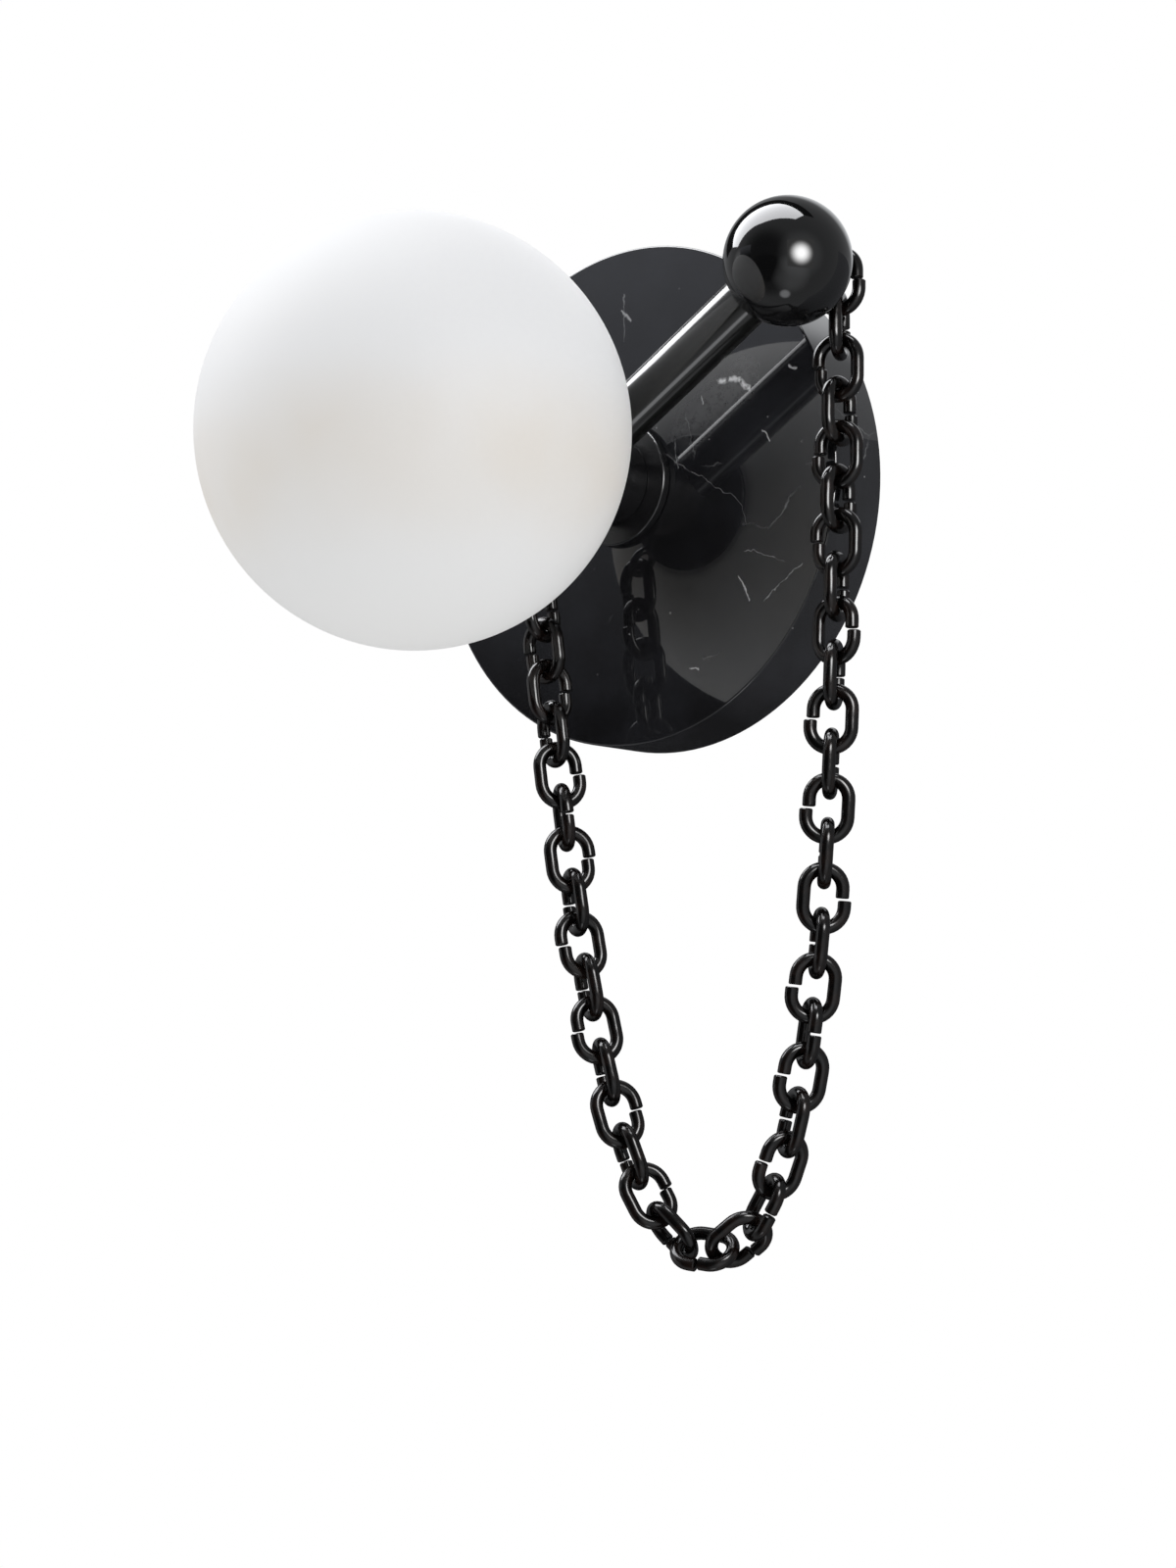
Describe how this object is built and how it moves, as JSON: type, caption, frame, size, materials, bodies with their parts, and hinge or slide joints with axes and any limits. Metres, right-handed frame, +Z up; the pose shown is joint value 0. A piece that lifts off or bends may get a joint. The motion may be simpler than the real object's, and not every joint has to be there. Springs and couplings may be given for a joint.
{
  "type": "wall sconce",
  "caption": "Wall sconce with an opal glass globe in front of a black stone disc, an angled rod ending in a ball, and a looped link chain.",
  "frame": {"origin": "where the hub's axis meets the wall, midway between the bracket's two screw holes", "axes": "+Z up, +X to the right seen from the front, -Y out from the wall into the room"},
  "size_m": [0.2283, 0.23, 0.4034],
  "materials": {
    "black_marble": "polished",
    "zinc_steel": "zinc plated",
    "bush_plastic": "moulded",
    "gasket_rubber": "matt",
    "gunmetal": "satin gunmetal",
    "black_nickel": "polished black nickel",
    "gloss_black_metal": "high gloss",
    "white_ceramic": "unglazed",
    "terminal_plastic": "moulded",
    "lead_live": "insulation",
    "lead_neutral": "insulation",
    "lead_earth": "insulation",
    "brass_parts": "plain",
    "opal_glass": "satin opal",
    "collar_aluminium": "turned",
    "lamp_plastic": "moulded",
    "lamp_glass": "frosted",
    "black_chain": "semi-gloss black"
  },
  "bodies": {
    "frame": {"marble_disc": "black_marble", "wall_bracket": "zinc_steel", "stem_tube": "zinc_steel", "stem_nut": "zinc_steel", "cable_bush": "bush_plastic", "hub_gasket": "gasket_rubber", "hub_flange": "gunmetal", "hub_body": "gunmetal", "rod_set_screw": "zinc_steel", "rod": "black_nickel", "ball_stud": "zinc_steel", "ball": "gloss_black_metal", "hub_eye": "gunmetal", "ball_eye": "gunmetal", "globe_holder": "gunmetal", "holder_screws": "zinc_steel", "lamp_holder": "white_ceramic", "lamp_holder_screws": "zinc_steel", "globe_gasket": "gasket_rubber", "terminal_block": "terminal_plastic", "block_screw": "zinc_steel", "live_lead": "lead_live", "neutral_lead": "lead_neutral", "earth_tag": "brass_parts", "earth_screw": "brass_parts", "earth_lead": "lead_earth", "chain_anchor_links": "black_chain"},
    "globe": {"globe_glass": "opal_glass", "globe_collar": "collar_aluminium"},
    "lamp": {"bulb_foot": "lamp_plastic", "bulb_pins": "zinc_steel", "bulb_glass": "lamp_glass"},
    "chain": {"chain_left_upper": "black_chain", "chain_left_middle": "black_chain", "chain_left_lower": "black_chain", "chain_left_bend": "black_chain", "chain_bottom_left": "black_chain", "chain_bottom_link": "black_chain", "chain_bottom_right": "black_chain", "chain_right_bend": "black_chain", "chain_right_lower": "black_chain", "chain_right_middle": "black_chain", "chain_right_upper": "black_chain", "chain_right_top": "black_chain"}
  },
  "joints": [
    {"name": "globe_removal", "type": "slide", "parent": "frame", "child": "globe", "axis": [0, -1, 0], "range_m": [0, 0.075]},
    {"name": "lamp_unplug", "type": "slide", "parent": "frame", "child": "lamp", "axis": [0, -1, 0], "range_m": [0, 0.012]},
    {"name": "chain_swing", "type": "hinge", "parent": "frame", "child": "chain", "pos_m": [-0.01844, -0.0618, -0.02337], "axis": [-0.8917, -0.2061, -0.403], "range_deg": [-1, 28]}
  ]
}
